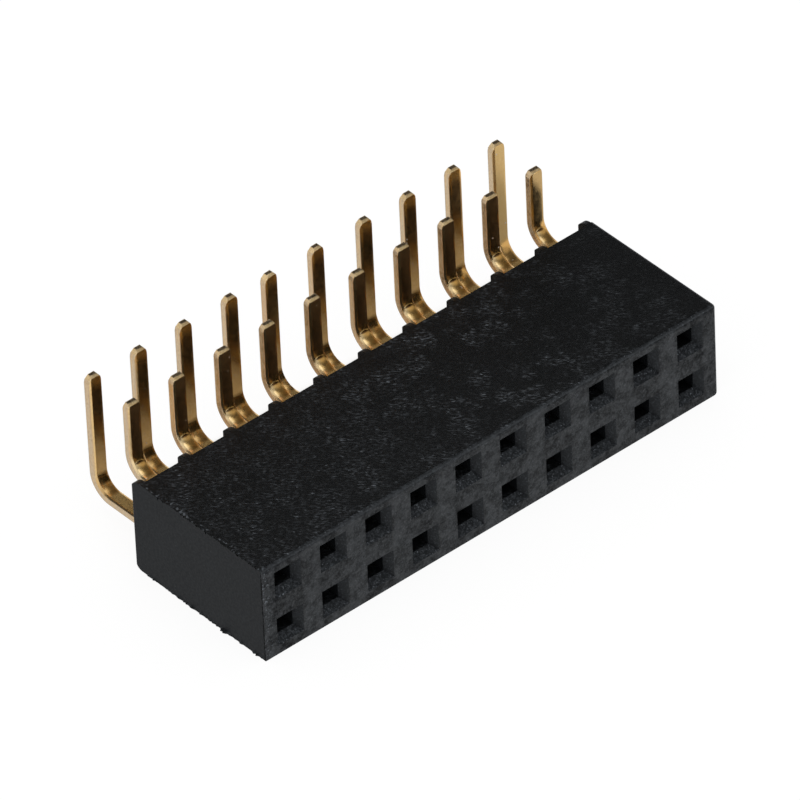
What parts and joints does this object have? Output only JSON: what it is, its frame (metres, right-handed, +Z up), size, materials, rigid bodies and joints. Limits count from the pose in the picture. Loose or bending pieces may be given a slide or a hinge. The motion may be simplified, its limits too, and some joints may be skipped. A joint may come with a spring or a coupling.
{
  "type": "board-to-board socket",
  "caption": "Right-angle dual-row pin socket: a black moulded housing with square tapered post entries and gold-plated flat solder tails bent up behind it.",
  "frame": {"origin": "centre of the flat face that the housing lies on", "axes": "+X along the rows of contacts, -Y out of the mating face, +Z up toward the board and the tail tips"},
  "size_m": [0.0259, 0.0127, 0.0075],
  "materials": {
    "housing": "matt moulded thermoplastic with fine grain and light scuffs",
    "contact": "gold-plated stamped strip"
  },
  "bodies": {
    "root": {"housing": "housing", "upper_contact_01": "contact", "upper_contact_02": "contact", "upper_contact_03": "contact", "upper_contact_04": "contact", "upper_contact_05": "contact", "upper_contact_06": "contact", "upper_contact_07": "contact", "upper_contact_08": "contact", "upper_contact_09": "contact", "upper_contact_10": "contact", "lower_contact_01": "contact", "lower_contact_02": "contact", "lower_contact_03": "contact", "lower_contact_04": "contact", "lower_contact_05": "contact", "lower_contact_06": "contact", "lower_contact_07": "contact", "lower_contact_08": "contact", "lower_contact_09": "contact", "lower_contact_10": "contact"}
  },
  "joints": []
}
